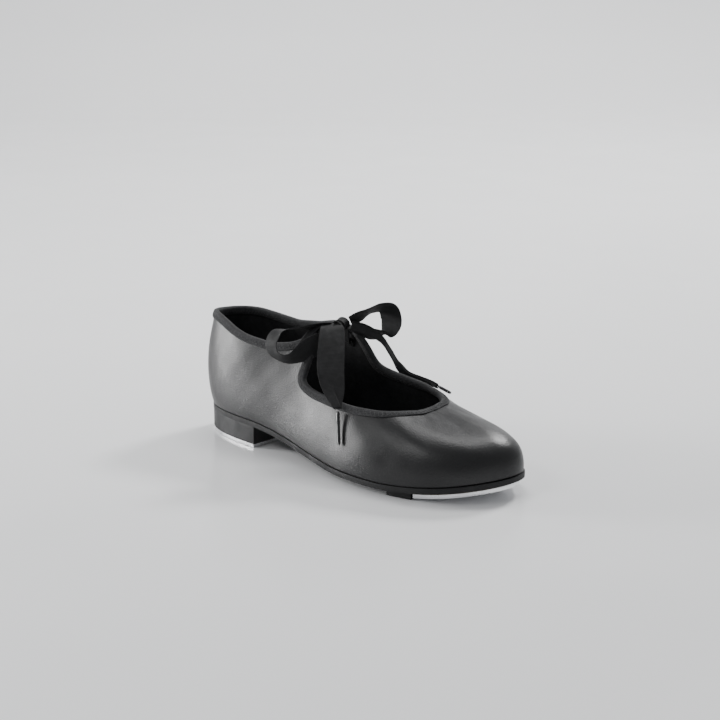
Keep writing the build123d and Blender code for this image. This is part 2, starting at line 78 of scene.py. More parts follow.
# Stations round the last, from the back seam past the outer side to the toe and home.
# feather edge x, y | top of the wall x, y, z | bulge, rise | tuck, drop, forward lean
STATIONS = [
    (-2, 0, 3, 0, 100, 9.5, 30, 3, 26, 0),
    (8, -20, 10, -15, 100, 9.0, 30, 3, 26, 0),
    (38, -30, 46, -20, 99, 5.0, 30, 4, 26, 0),
    (80, -33, 88, -11, 96, 3.0, 30, 9, 18, 0),
    (122, -39, 118, -4, 84, 2.5, 26, 20, 8, 6),
    (162, -45, 140, -4, 70, 2.5, 24, 26, 8, 10),
    (198, -42, 156, -4, 59, 2.5, 24, 26, 9, 18),
    (230, -27, 166, -3, 52, 2.5, 29, 16, 12, 34),
    (249, 4, 170, 1, 50, 2.5, 32, 0, 13, 48),
    (239, 28, 167, 5, 52, 2.5, 29, 14, 12, 36),
    (208, 40, 156, 6, 58, 2.5, 24, 22, 10, 24),
    (172, 41, 140, 6, 70, 2.5, 24, 24, 8, 14),
    (135, 31, 120, 6, 83, 1.0, 26, 18, 8, 6),
    (98, 25, 90, 13, 96, 1.0, 30, 8, 18, 0),
    (55, 27, 48, 20, 99, 3.0, 30, 4, 26, 0),
    (16, 22, 12, 15, 100, 7.5, 30, 3, 26, 0),
]
LAPS = len(STATIONS)

# Topline: station along the last, share of the wall's full height
TOPLINE = [
    (0, 0.765), (0.7, 0.78), (1.2, 0.785), (1.5, 0.76), (1.83, 0.71), (2.1, 0.68),
    (2.6, 0.645), (2.94, 0.68), (3.12, 0.725), (3.3, 0.80), (3.41, 0.905), (3.46, 0.90),
    (3.42, 0.52), (3.48, 0.455), (3.65, 0.44), (3.85, 0.443), (4.23, 0.469), (4.51, 0.495),
    (4.84, 0.526), (5.25, 0.578), (5.65, 0.631), (6.07, 0.70), (6.6, 0.795), (7.2, 0.87),
    (7.8, 0.90), (8.4, 0.895), (9.0, 0.865), (9.7, 0.765), (10.3, 0.68), (10.8, 0.62),
    (11.27, 0.58), (11.6, 0.57), (11.95, 0.565), (12.12, 0.58), (12.16, 0.66), (12.2, 0.88),
    (12.33, 0.90), (12.6, 0.87), (13.1, 0.80), (13.46, 0.745), (14, 0.707), (14.85, 0.748),
    (15.4, 0.752),
]
TOPLINE_ROUNDING = 2.6
PATH_SPACING = 0.5
FOOT_WEIGHT = 0.6  # how much the sole's outline counts in the spread of a wall's columns

# Ribbon routes: centre x, y, z and the vector across the ribbon
LOOP_LATERAL = [
    (106.5, -5.8, 88.5, -2, 0, -5), (100, -14, 88.5, -7, -1, -5), (93, -26, 88.5, -10, -3, -3),
    (86, -35, 86.5, -11, -1, -3), (84, -39.5, 79, -11, 1, -3), (88, -39, 72, -10, 2, -3),
    (96, -34, 69.8, -7, 4, -9), (104, -23, 76.5, -4, 3, -17), (109.3, -6.2, 83.6, -1, 0, -8),
]
LOOP_MEDIAL = [
    (111.5, 6.7, 90.5, -2, 0, -6), (117, 13, 94, -7, 0, -9), (121, 22, 97.5, -12, 0, -9),
    (125, 29, 96.5, -15, 0, -7), (125.5, 31.5, 87, -16, -1, -6),
    (122.5, 28.5, 79, -13, -1, -6), (120.5, 21, 80, -6, 0, -8), (118, 13, 83, -3, 0, -7),
    (113.6, 6.9, 85.6, -1, 0, -4),
]
TAIL_LATERAL = [
    (107, -5.3, 89.6, 7, 8, 1), (112, -11, 88, 9, 13, 1), (119.5, -20, 78, 10, 14, 2),
    (127, -28.5, 66, 10.5, 13.5, 2), (134.5, -33.5, 55.5, 9, 10, 1.5),
    (141.7, -38.3, 46.6, 3, 4, 0.5),
]
TAIL_MEDIAL = [
    (115.2, 4, 88.3, 2, 0, -6), (119.5, 9.5, 86.4, 2, 0, -6.5), (124, 15.2, 82.8, 2, 0, -6),
    (127.6, 20.8, 77.4, 1.5, 0, -5), (129.8, 26.5, 68.4, 1.5, 0, -5),
    (132.6, 31.2, 58.9, 1.5, 0, -5), (138.4, 33.6, 53.2, 1, 1, -5),
    (148, 35.6, 51.2, 0, 1, -4.5), (157, 35.4, 50.6, 0, 1, -4), (165, 33.4, 50.4, 0, 1, -3),
]
LEAD_LATERAL = [
    (92.6, -24.4, 73, 4, 1, 2), (97, -21.4, 80, 5, 2, 1), (100.2, -17.8, 85.6, 5, 2, 1),
    (102.5, -12.5, 89, 4, 2, 0.5), (104, -7.2, 88.2, 3, 1, 0),
]
LEAD_MEDIAL = [
    (102.6, 13.4, 73.5, 4, 1, -1), (104.8, 10.6, 79, 4.5, 1, -1), (107, 8, 83.2, 4, 1, -1),
    (108.2, 6.7, 85.4, 3, 1, 0),
]
AGLETS = {
    "aglet_lateral": ((142.7, -39.0, 45.2), (149.2, -44.6, 25.5)),
    "aglet_medial": ((165.9, 33.1, 50.4), (180.5, 27.6, 50.2)),
}
KNOT = (108.5, 0.5, 89.5)


def put(points):
    """Millimetre points in the frame, in metres."""
    return (np.asarray(points, float) - CENTRE) * MM


# ---------------------------------------------------------------- the last's surface

def closed_curve(values, at):
    """C2 cubic curve through evenly spaced values that closes on itself."""
    values = np.asarray(values, float)
    n = len(values)
    k = np.arange(n)
    waves = np.fft.fft(values, axis=0)
    knots = np.fft.ifft(waves / ((4 + 2 * np.cos(2 * math.pi * k / n)) / 6)[:, None], axis=0).real
    at = np.atleast_1d(np.asarray(at, float))
    base = np.floor(at).astype(int)
    s = (at - base)[:, None]
    a, b, c, d = (knots[(base + shift) % n] for shift in (-1, 0, 1, 2))
    return ((1 - s) ** 3 * a + (3 * s ** 3 - 6 * s ** 2 + 4) * b
            + (-3 * s ** 3 + 3 * s ** 2 + 3 * s + 1) * c + s ** 3 * d) / 6


def sole_top(x):
    """Height of the outsole's upper face: heel seat, arch, ball and toe spring."""
    x = np.asarray(x, float)
    s = np.clip((x - ARCH_START) / (ARCH_END - ARCH_START), 0, 1)
    slope = HEEL_SEAT + (BALL_TOP - HEEL_SEAT) * s * s * (3 - 2 * s)
    spring = np.clip((x - SPRING_START) / SPRING_LENGTH, 0, SPRING_REACH)
    return slope + TOE_SPRING * spring ** SPRING_CURVE


def feather(at):
    """Plan outline of the wall's foot and its outward direction."""
    xy = closed_curve([s[:2] for s in STATIONS], at)
    ahead = closed_curve([s[:2] for s in STATIONS], np.atleast_1d(at) + 1e-3)
    along = (ahead - xy) / np.linalg.norm(ahead - xy, axis=1)[:, None]
    return xy, np.stack([along[:, 1], -along[:, 0]], 1)


def skin(at, w):
    """Points of the wall's outer face at stations and shares of its height."""
    table = closed_curve(STATIONS, at)
    foot, outward = feather(at)
    out = np.c_[outward, np.zeros(len(foot))]
    low = np.c_[foot, sole_top(foot[:, 0]) + SOLE_GAP]
    belly = low + out * table[:, 5:6] + [0, 0, 1] * table[:, 6:7]
    top = table[:, 2:5]
    shoulder = top + out * table[:, 7:8] - [0, 0, 1] * table[:, 8:9] + [1, 0, 0] * table[:, 9:10]
    w = np.asarray(w, float)[:, None]
    return ((1 - w) ** 3 * low + 3 * (1 - w) ** 2 * w * belly
            + 3 * (1 - w) * w * w * shoulder + w ** 3 * top)


def slopes(at, w, step=1e-3):
    """The wall's directions round the last and up the wall."""
    across = (skin(at + step, w) - skin(at - step, w)) / (2 * step)
    rise = (skin(at, w + step) - skin(at, w - step)) / (2 * step)
    return across, rise


def normals(at, w):
    """Outward unit normals of the wall."""
    n = np.cross(*slopes(at, w))
    return n / np.linalg.norm(n, axis=1)[:, None]


def walk(at, w, move):
    """Station and height reached by a short move along the wall."""
    basis = np.stack(slopes(at, w), 2)
    gram = np.einsum("nji,njk->nik", basis, basis)
    shares = np.linalg.solve(gram, np.einsum("nji,nj->ni", basis, move)[..., None])[..., 0]
    return at + shares[:, 0], w + shares[:, 1]


def topline_path(spacing=PATH_SPACING):
    """The topline as evenly spaced (station, height) pairs with rounded corners."""
    points = np.array(TOPLINE)
    loop = np.vstack([points, points[:1] + [LAPS, 0]])
    fine = np.vstack([np.linspace(a, b, 60, endpoint=False) for a, b in zip(loop, loop[1:])])
    xyz = skin(fine[:, 0], fine[:, 1])
    steps = np.linalg.norm(np.diff(np.vstack([xyz, xyz[:1]]), axis=0), axis=1)
    length = np.concatenate([[0], np.cumsum(steps)])
    count = int(length[-1] / spacing)
    s = np.arange(count) * length[-1] / count
    tail = np.vstack([fine, fine[:1] + [LAPS, 0]])
    pairs = np.stack([np.interp(s, length, tail[:, 0]), np.interp(s, length, tail[:, 1])], 1)
    reach = int(4 * TOPLINE_ROUNDING / spacing)
    kernel = np.exp(-0.5 * (np.arange(-reach, reach + 1) * spacing / TOPLINE_ROUNDING) ** 2)
    kernel /= kernel.sum()
    drift = np.linspace(0, LAPS, count, endpoint=False)
    pairs[:, 0] -= drift
    wide = np.vstack([pairs[-reach:], pairs, pairs[:reach]])
    smooth = np.stack([np.convolve(wide[:, i], kernel, "valid") for i in (0, 1)], 1)
    smooth[:, 0] = np.maximum.accumulate(smooth[:, 0] + drift)
    return smooth


PATH = topline_path()


def columns(count):
    """Stations and topline shares of a wall mesh, spread evenly over sole and topline."""
    edge, foot = skin(PATH[:, 0], PATH[:, 1]), feather(PATH[:, 0])[0]
    steps = np.hypot(np.linalg.norm(np.roll(edge, -1, 0) - edge, axis=1),
                     FOOT_WEIGHT * np.linalg.norm(np.roll(foot, -1, 0) - foot, axis=1))
    length = np.concatenate([[0], np.cumsum(steps)])
    s = np.arange(count) * length[-1] / count
    loop = np.vstack([PATH, PATH[:1] + [LAPS, 0]])
    return np.interp(s, length, loop[:, 0]), np.interp(s, length, loop[:, 1])


# ---------------------------------------------------------------- mesh helpers

def edit(mesh, change):
    """Runs change on a bmesh of the mesh and writes the result back."""
    bm = bmesh.new()
    bm.from_mesh(mesh)
    change(bm)
    bm.to_mesh(mesh)
    bm.free()


def face_outward(bm):
    bmesh.ops.recalc_face_normals(bm, faces=bm.faces)


def weld(bm, distance):
    bmesh.ops.remove_doubles(bm, verts=bm.verts, dist=distance)


def shade_smooth(mesh):
    mesh.polygons.foreach_set("use_smooth", [True] * len(mesh.polygons))


def link(name, data):
    obj = bpy.data.objects.new(name, data)
    bpy.context.scene.collection.objects.link(obj)
    return obj


def new_object(name, verts, faces, uv=None):
    """Smooth mesh object; uv holds one pair for each vertex, in UV units."""
    mesh = bpy.data.meshes.new(name)
    mesh.from_pydata([tuple(v) for v in np.reshape(verts, (-1, 3))], [], faces)
    if uv is not None:
        layer = mesh.uv_layers.new(name="weave")
        index = np.zeros(len(mesh.loops), np.int32)
        mesh.loops.foreach_get("vertex_index", index)
        layer.data.foreach_set("uv", np.reshape(uv, (-1, 2))[index].astype(np.float32).ravel())
    edit(mesh, face_outward)
    shade_smooth(mesh)
    return link(name, mesh)


def grid_faces(rows, cols, wrap_rows=False, wrap_cols=False, start=0):
    """Quads of a grid of rows x cols vertices."""
    faces = []
    for r in range(rows if wrap_rows else rows - 1):
        for c in range(cols if wrap_cols else cols - 1):
            a, b = r * cols + c, r * cols + (c + 1) % cols
            d, e = (r + 1) % rows * cols + c, (r + 1) % rows * cols + (c + 1) % cols
            faces.append((start + a, start + b, start + e, start + d))
    return faces


def square_to(axis, hint):
    """Two unit directions at right angles to an axis and to each other."""
    side = np.cross(axis, hint)
    side /= np.linalg.norm(side)
    other = np.cross(axis, side)
    return side, other / np.linalg.norm(other)


LOOKS = {}  # finish of each piece by its name


def place(obj, slot, *nodes, look=None):
    """Puts a piece on the body, in its slot and in place of its CAD nodes."""
    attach(obj, "root")
    LOOKS[obj.name] = look or slot
    if nodes:
        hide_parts(*nodes)
    return obj


def tubes(name, segments, radius, sides=6):
    """One mesh of short round rods with domed ends, each from one point to the next."""
    verts, faces = [], []
    ring = np.arange(sides) * 2 * math.pi / sides
    profile = [(0.0, 0.25), (0.12, 0.85), (0.5, 1.0), (0.88, 0.85), (1.0, 0.25)]
    for a, b in segments:
        axis = b - a
        side, other = square_to(axis, [0.31, 0.2, 0.93])
        base = len(verts)
        for share, width in profile:
            for angle in ring:
                verts.append(a + axis * share
                             + (side * math.cos(angle) + other * math.sin(angle)) * radius * width)
        faces += grid_faces(len(profile), sides, wrap_cols=True, start=base)
        faces.append(tuple(base + k for k in range(sides)))
        faces.append(tuple(base + (len(profile) - 1) * sides + k for k in reversed(range(sides))))
    return new_object(name, put(verts), faces)


BEVEL_SEGMENTS, BEVEL_ANGLE, SHARP_ANGLE = 3, math.radians(50), math.radians(35)


def softened(name, node, width, slot):
    """A CAD node's shape with its sharp edges rounded off."""
    obj = link(name, frame["nodes"][node].data.copy())
    obj.data.materials.clear()
    edit(obj.data, lambda bm: weld(bm, 1e-6))
    bevel = obj.modifiers.new("edges", "BEVEL")
    bevel.width, bevel.segments = width * MM, BEVEL_SEGMENTS
    bevel.limit_method, bevel.angle_limit = "ANGLE", BEVEL_ANGLE
    shade_smooth(obj.data)
    obj.data.set_sharp_from_angle(angle=SHARP_ANGLE)
    place(obj, slot, node)


# ---------------------------------------------------------------- upper and lining

WALL_COLUMNS = 900

# Unevenness of the pulled-over material: waves round the shoe, up the wall, phase, height
WAVES = [(7, 4.2, 0.6, 0.5), (13, -9, 2.1, 0.3), (23, 15, 0, 0.16), (37, -21, 1.0, 0.08)]
WAVE_HEIGHT = 0.32


def soft_waves(at, w):
    """Height of the unevenness in millimetres, fading out at the wall's foot and full height."""
    turn = at * 2 * math.pi / LAPS
    hold = np.clip(w * 5, 0, 1) * np.clip((1.02 - w) * 6, 0, 1)
    return WAVE_HEIGHT * hold * sum(height * np.sin(laps * turn + climb * w + phase)
                                    for laps, climb, phase, height in WAVES)


def wall_sheet(name, depths, rows, foot_lift=0.0, wavy=False):
    """Closed layer of the wall between two depths, from the sole up to the topline."""
    count = WALL_COLUMNS
    at, top = columns(count)
    table = closed_curve(STATIONS, at)
    low = foot_lift / (3 * table[:, 6])
    rings = []
    outer, inner = depths
    mid = (outer + inner) / 2
    rise = np.linspace(0, 1, rows)
    profile = [(s, outer) for s in rise] + [(1.0, mid)] + [(s, inner) for s in rise[::-1]]
    for share, depth in profile:
        w = low + (top - low) * share
        swell = soft_waves(at, w)[:, None] if wavy else 0
        point = skin(at, w) + normals(at, w) * (swell - depth)
        floor = sole_top(point[:, 0]) + SOLE_GAP + foot_lift
        point[:, 2] = np.maximum(point[:, 2], floor)
        rings.append(point)
    faces = grid_faces(len(profile), count, wrap_rows=True, wrap_cols=True)
    return new_object(name, put(rings), faces)


# Gap under a strip, its rough height, and the share of the wall where its width is taken
STRIP_GAP, STRIP_HEIGHT, STRIP_MIDDLE = 0.06, 70.0, 0.4


def wall_strip(name, stations, shares, lift, rows=70, cols=30, edge=0.6):
    """Strip laid on the wall between two shares of its height, with rounded edges."""
    at = np.linspace(*stations, cols)
    u, v = np.meshgrid(np.linspace(0, 1, cols), np.linspace(0, 1, rows))
    grid_at = np.broadcast_to(at, (rows, cols)).ravel()
    low, high = shares
    w = (low + (high - low) * v).ravel()
    width = np.linalg.norm(skin(at[-1:], [STRIP_MIDDLE]) - skin(at[:1], [STRIP_MIDDLE]))
    reach = np.minimum(np.minimum(u, 1 - u) * width, np.minimum(v, 1 - v) * STRIP_HEIGHT) / edge
    height = np.sqrt(1 - (1 - np.clip(reach, 0, 1)) ** 2).ravel()[:, None]
    base, out = skin(grid_at, w), normals(grid_at, w)
    verts = np.vstack([base + out * (STRIP_GAP + lift * height), base + out * STRIP_GAP])
    faces = grid_faces(rows, cols)
    faces += [f[::-1] for f in grid_faces(rows, cols, start=rows * cols)]
    obj = new_object(name, put(verts), faces)

    def join_faces(bm):
        weld(bm, 1e-7)
        face_outward(bm)

    edit(obj.data, join_faces)
    return obj


place(wall_sheet("upper_shell", UPPER_DEPTH, 72, wavy=True), "upper_pu", "upper")
place(wall_sheet("lining_shell", LINING_DEPTH, 60, LINING_LIFT), "lining_cloth", "lining")


# ---------------------------------------------------------------- topline binding

BINDING_WIDTH, BINDING_THICK, BINDING_GAP = 4.2, 0.62, 0.1
PINCH_LIMIT = 0.6  # share of an inside bend's radius that a leg may take
EASE = 8  # path points on each side that share a leg's length
REACH = 3  # path points on each side that set a direction
# Shares of a leg's length from its hem to the fold, and the tape's fullness there
LEG_SHARES = [1.0, 0.97, 0.85, 0.66, 0.45, 0.25, 0.08]
LEG_FULLNESS = [0.35, 0.8, 1.0, 1.12, 1.16, 1.12, 1.0]
FOLD_ANGLES = [20, 50, 80, 100, 130, 160]
LEG_BACKS = [0.97, 0.5, 0.05]


def topline_frame():
    """Edge points of the topline with outward and downward directions and leg lengths."""
    at, w = PATH[:, 0], PATH[:, 1]
    edge, out = skin(at, w), normals(at, w)
    along = np.roll(edge, -REACH, axis=0) - np.roll(edge, REACH, axis=0)
    along /= np.linalg.norm(along, axis=1)[:, None]
    down = np.cross(out, along)
    down *= np.sign(np.sum(down * (skin(at, w - 0.02) - edge)))
    span = 2 * REACH * PATH_SPACING
    turn = (np.roll(down, -REACH, axis=0) - np.roll(down, REACH, axis=0)) / span
    pinch = -np.einsum("nj,nj->n", turn, along)
    legs = np.minimum(BINDING_WIDTH, PINCH_LIMIT / np.maximum(pinch, 0.01))
    for step in (np.min, np.mean):
        row = np.concatenate([legs[-EASE:], legs, legs[:EASE]])
        legs = step(np.lib.stride_tricks.sliding_window_view(row, 2 * EASE + 1), axis=1)
    legs = legs[:, None]
    steps = np.linalg.norm(np.roll(edge, -1, 0) - edge, axis=1)
    return at, w, edge, out, down, legs, np.concatenate([[0], np.cumsum(steps)[:-1]])


def leg_point(share, offset):
    """Points of the tape's leg: share of its length below the edge, offset from the skin."""
    leg_at, leg_w = walk(E_AT, E_W, E_DOWN * E_LEGS * share)
    return skin(leg_at, leg_w) + normals(leg_at, leg_w) * offset


E_AT, E_W, E_POINT, E_OUT, E_DOWN, E_LEGS, E_RUN = topline_frame()


def binding():
    """Tape folded over the topline: outer leg, fold, inner leg, then back along the wall."""
    skin_in = -(WALL + BINDING_GAP)
    skin_out = BINDING_GAP
    half = (skin_out - skin_in) / 2
    middle = (skin_out + skin_in) / 2
    rings, across = [], []
    for share, full in zip(LEG_SHARES, LEG_FULLNESS):
        rings.append(leg_point(share, skin_out + BINDING_THICK * full))
        across.append(-share * BINDING_WIDTH)
    radius = half + BINDING_THICK
    for angle in np.radians(FOLD_ANGLES):
        side = E_OUT * (middle + radius * math.cos(angle))
        rings.append(E_POINT + side - E_DOWN * (0.15 + 1.25 * math.sin(angle)))
        across.append(1.5 * math.degrees(angle) / 90)
    for share, full in zip(LEG_SHARES[::-1], LEG_FULLNESS[::-1]):
        rings.append(leg_point(share, skin_in - BINDING_THICK * full))
        across.append(3 + share * BINDING_WIDTH)
    for share in LEG_BACKS:
        rings.append(leg_point(share, skin_in))
        across.append(3 + share * BINDING_WIDTH)
    for share in LEG_BACKS[::-1]:
        rings.append(leg_point(share, skin_out))
        across.append(-share * BINDING_WIDTH)
    count = len(E_RUN)
    uv = [np.stack([E_RUN, np.full(count, a)], 1) for a in across]
    faces = grid_faces(len(rings), count, wrap_rows=True, wrap_cols=True)
    return new_object("binding_tape", put(rings), faces, uv=np.array(uv) / UV_UNIT)


ZIGZAG_PITCH, ZIGZAG_RADIUS, ZIGZAG_SHARES = 1.25, 0.17, (0.2, 0.82)
ZIGZAG_OFFSET = BINDING_GAP + BINDING_THICK * 1.12 + 0.05


def zigzag(name, side):
    """Zigzag stitches along the tape, on its outer (side 1) or inner (side -1) leg."""
    offset = ZIGZAG_OFFSET if side > 0 else -(WALL + ZIGZAG_OFFSET)
    high, low = (leg_point(share, offset) for share in ZIGZAG_SHARES)
    runs = np.arange(0, E_RUN[-1], ZIGZAG_PITCH)
    picks = [(low if k % 2 else high)[np.searchsorted(E_RUN, run)] for k, run in enumerate(runs)]
    return tubes(name, list(zip(picks, picks[1:])), ZIGZAG_RADIUS)


STITCH_PITCH, STITCH_SHARE, STITCH_RADIUS = 2.6, 0.72, 0.2
STITCH_START, STITCH_OFFSET = 0.6, 0.9


def stitch_row(name, at, shares, samples=400):
    """Running stitches up the wall at one station."""
    line_at, w = np.full(samples, at), np.linspace(*shares, samples)
    line = skin(line_at, w) + normals(line_at, w) * STITCH_OFFSET
    run = np.concatenate([[0], np.cumsum(np.linalg.norm(np.diff(line, axis=0), axis=1))])
    starts = np.arange(STITCH_START, run[-1] - STITCH_PITCH, STITCH_PITCH)
    ends = starts + STITCH_PITCH * STITCH_SHARE
    segments = list(zip(line[np.searchsorted(run, starts)], line[np.searchsorted(run, ends)]))
    return tubes(name, segments, STITCH_RADIUS)


place(binding(), "binding_tape", "topline_binding")
for side, label in ((1, "outer"), (-1, "inner")):
    place(zigzag(f"binding_stitches_{label}", side), "binding_tape", look="thread")

# Backstay: half its width in stations, its foot and thickness, and the stitch rows' places
BACKSTAY_HALF, BACKSTAY_FOOT, BACKSTAY_THICK = 0.4, 0.004, 0.8
BACKSTAY_ROW, BACKSTAY_ROW_FOOT = 0.33, 0.02
BACK_TOP = PATH[0, 1]
backstay = wall_strip("backstay_strip", (-BACKSTAY_HALF, BACKSTAY_HALF),
                      (BACKSTAY_FOOT, BACK_TOP - 0.03), BACKSTAY_THICK)
place(backstay, "upper_pu", "backstay")
for at, label in ((-BACKSTAY_ROW, "medial"), (BACKSTAY_ROW, "lateral")):
    row = stitch_row(f"backstay_stitches_{label}", at, (BACKSTAY_ROW_FOOT, BACK_TOP - 0.07))
    place(row, "binding_tape", look="thread")


# ---------------------------------------------------------------- bottom

# Piece, CAD node, width of the rounded edge, slot
for bottom_piece in (
        ("outsole_body", "outsole", 0.7, "outsole_tpr"),
        ("heel_body", "heel_block", 0.45, "heel_black"),
        ("heel_tap_plate", "heel_tap", 0.3, "tap_metal"),
        ("toe_tap_plate", "toe_tap", 0.45, "tap_metal"),
        ("rubber_pad", "sole_pad", 0.5, "outsole_tpr")):
    softened(*bottom_piece)

SOCK_LOW, SOCK_HIGH = 3.1, 4.1
SOCK_INSET = WALL + 0.6
# Middle line of the sock: x, y. Its rings shrink towards it.
SOCK_SPINE = [(0, 0.5), (60, -1.5), (120, -3.5), (170, -2), (240, 1)]
SPINE_ENDS = (22, 222)
# Rings from the middle of the underside round the rim: share of the way in, height
SOCK_RINGS = ([(share, SOCK_LOW) for share in (0.9, 0.5, 0.12, 0.0)]
              + [(0.0, SOCK_LOW + 0.25), (0.0, SOCK_HIGH - 0.35), (0.004, SOCK_HIGH - 0.1)]
              + [(share, SOCK_HIGH) for share in (0.015, 0.06, 0.15, 0.3, 0.5, 0.7, 0.9)])


def sock_pad(count=360):
    """Padded cloth laid over the insole board, as a closed slab with a rounded rim."""
    at = np.arange(count) * LAPS / count
    foot, outward = feather(at)
    spine = np.stack([np.clip(foot[:, 0], *SPINE_ENDS),
                      np.interp(foot[:, 0], *np.transpose(SOCK_SPINE))], 1)
    plan = foot - outward * SOCK_INSET
    rings = []
    for share, level in SOCK_RINGS:
        xy = plan + (spine - plan) * share
        rings.append(np.c_[xy, sole_top(xy[:, 0]) + level])
    verts = np.vstack(rings)
    obj = new_object("sock_pad", put(verts), grid_faces(len(SOCK_RINGS), count, wrap_cols=True))

    def close_ends(bm):
        ends = {}
        for e in [e for e in bm.edges if e.is_boundary]:
            ends.setdefault(e.verts[0].index >= count, []).append(e)
        for loop in ends.values():
            bmesh.ops.triangle_fill(bm, use_beauty=True, edges=loop)
        face_outward(bm)

    edit(obj.data, close_ends)
    shade_smooth(obj.data)
    place(obj, "sock_foam", "sock_liner")


sock_pad()


# ---------------------------------------------------------------- ribbon

RIBBON_FLAT = 16.0
RIBBON_THICK = 0.34
RIBBON_POINTS = 33  # points across one face of the ribbon
# Pleat: half the gap between its layers, its least half width, the half width at which its
# gap is whole, and its least distance from the ribbon's edge
PLEAT_GAP, PLEAT_LEAST, PLEAT_FULL, PLEAT_MARGIN = 0.5, 0.02, 1.2, 0.35


def flow(points, steps):
    """Smooth curve through points, with so many steps from each to the next."""
    points = np.array(points, float)
    first, last = 2 * points[0] - points[1], 2 * points[-1] - points[-2]
    ring = np.vstack([first, points, last])
    out = []
    for a, b, c, d in zip(ring, ring[1:], ring[2:], ring[3:]):
        for s in np.arange(steps) / steps:
            out.append(0.5 * (2 * b + (c - a) * s + (2 * a - 5 * b + 4 * c - d) * s ** 2
                              + (3 * b - a - 3 * c + d) * s ** 3))
    return np.array(out + [points[-1]])


def ribbon_strip(name, node, stations, rests_on, pleat=1.0, cup=0.05, steps=14):
    """Ribbon of one flat width, folded lengthwise into a pleat where its route is narrow."""
    flat, points = RIBBON_FLAT, RIBBON_POINTS
    table = flow(stations, steps)
    centre, across = table[:, :3], table[:, 3:]
    along = np.gradient(centre, axis=0)
    along /= np.linalg.norm(along, axis=1)[:, None]
    width = np.linalg.norm(across, axis=1)
    side = across - along * np.einsum("nj,nj->n", across, along)[:, None]
    side /= np.linalg.norm(side, axis=1)[:, None]
    face = np.cross(along, side)
    run = np.concatenate([[0], np.cumsum(np.linalg.norm(np.diff(centre, axis=0), axis=1))])
    rows, uv, area, last = [], [], 0.0, None
    t = np.linspace(0, 1, points)
    for c, n, f, w, s in zip(centre, side, face, width, run):
        tuck = max(PLEAT_LEAST, pleat * min((flat - w) / 4, w / 2 - PLEAT_MARGIN))
        xs = np.array([-w / 2, tuck, -tuck, w / 2])
        gap = PLEAT_GAP * min(1.0, tuck / PLEAT_FULL)
        ys = np.array([gap, gap, -gap, -gap])
        length = np.concatenate([[0], np.cumsum(np.abs(np.diff(xs)) + 1e-3)])
        x = np.interp(t * length[-1], length, xs)
        y = np.interp(t * length[-1], length, ys)
        x[1:-1] = (x[:-2] + 2 * x[1:-1] + x[2:]) / 4
        y[1:-1] = (y[:-2] + 2 * y[1:-1] + y[2:]) / 4
        y += cup * (x * x) / max(w, 1)
        slope = np.stack([np.gradient(x), np.gradient(y)], 1)
        slope /= np.maximum(np.linalg.norm(slope, axis=1), 1e-9)[:, None]
        half = RIBBON_THICK / 2
        front = np.stack([x - slope[:, 1] * half, y + slope[:, 0] * half], 1)
        rear = np.stack([x + slope[:, 1] * half, y - slope[:, 0] * half], 1)
        loop = np.vstack([front, rear[::-1]])
        rows.append(c + loop[:, :1] * n + loop[:, 1:] * f)
        around = np.concatenate([t, t[::-1]]) * length[-1]
        uv.append(np.stack([np.full(len(around), s), around], 1))
        area += length[-1] * (0 if last is None else s - last)
        last = s
    cols = 2 * points
    faces = grid_faces(len(rows), cols, wrap_cols=True)
    for base, order in ((0, 1), ((len(rows) - 1) * cols, -1)):  # the cut ends
        faces += [(base + k, base + k + 1, base + cols - 2 - k, base + cols - 1 - k)[::order]
                  for k in range(points - 1)]
    obj = place(new_object(name, put(rows), faces, uv=np.array(uv) / UV_UNIT), "ribbon", node)


# Piece, CAD node, route, what it rests on, and a loop's share of a full pleat
for ribbon_piece in (
        ("ribbon_loop_near", "ribbon_loop_lateral", LOOP_LATERAL, ["upper_shell"], 0.0),
        ("ribbon_loop_far", "ribbon_loop_medial", LOOP_MEDIAL, ["ribbon_knot_wrap"], 0.0),
        ("ribbon_tail_near", "ribbon_tail_lateral", TAIL_LATERAL, ["binding_tape"]),
        ("ribbon_tail_far", "ribbon_tail_medial", TAIL_MEDIAL, ["upper_shell"]),
        ("ribbon_lead_near", "ribbon_lead_lateral", LEAD_LATERAL, ["upper_shell"]),
        ("ribbon_lead_far", "ribbon_lead_medial", LEAD_MEDIAL, ["upper_shell"])):
    ribbon_strip(*ribbon_piece)

# Knot: turns, first radius and its growth in a turn; then its drop, height against length,
# width and how much that varies
KNOT_TURNS, KNOT_CORE, KNOT_LAYER = 2.6, 0.9, 1.25
KNOT_DROP, KNOT_FLATNESS = 1.2, 0.85
KNOT_BREADTH, KNOT_SWING = 8.4, 0.8
KNOT_TURN = math.radians(12)


def knot_route(steps=60):
    """Route of the ribbon wound round the middle of the bow."""
    spin = np.linspace(0, KNOT_TURNS * 2 * math.pi, steps)
    reach = KNOT_CORE + KNOT_LAYER * spin / (2 * math.pi)
    ahead = np.array([math.cos(KNOT_TURN), math.sin(KNOT_TURN), 0])
    side = np.array([-math.sin(KNOT_TURN), math.cos(KNOT_TURN), 0])
    centre = (np.array(KNOT) - [0, 0, KNOT_DROP] + np.outer(reach * np.cos(spin), ahead)
              + np.outer(reach * KNOT_FLATNESS * np.sin(spin), [0, 0, 1]))
    breadth = KNOT_BREADTH + KNOT_SWING * np.cos(2 * spin)
    return np.hstack([centre, np.outer(breadth, side) + np.outer(np.sin(spin), [0.4, 0, 0.6])])


ribbon_strip("ribbon_knot_wrap", "ribbon_knot", knot_route(), ["upper_shell"], cup=-0.3, steps=3)

# The film's lap: how far it stands up, and the angle over which it runs out
LAP_RISE, LAP_RUN = 0.07, 2.4


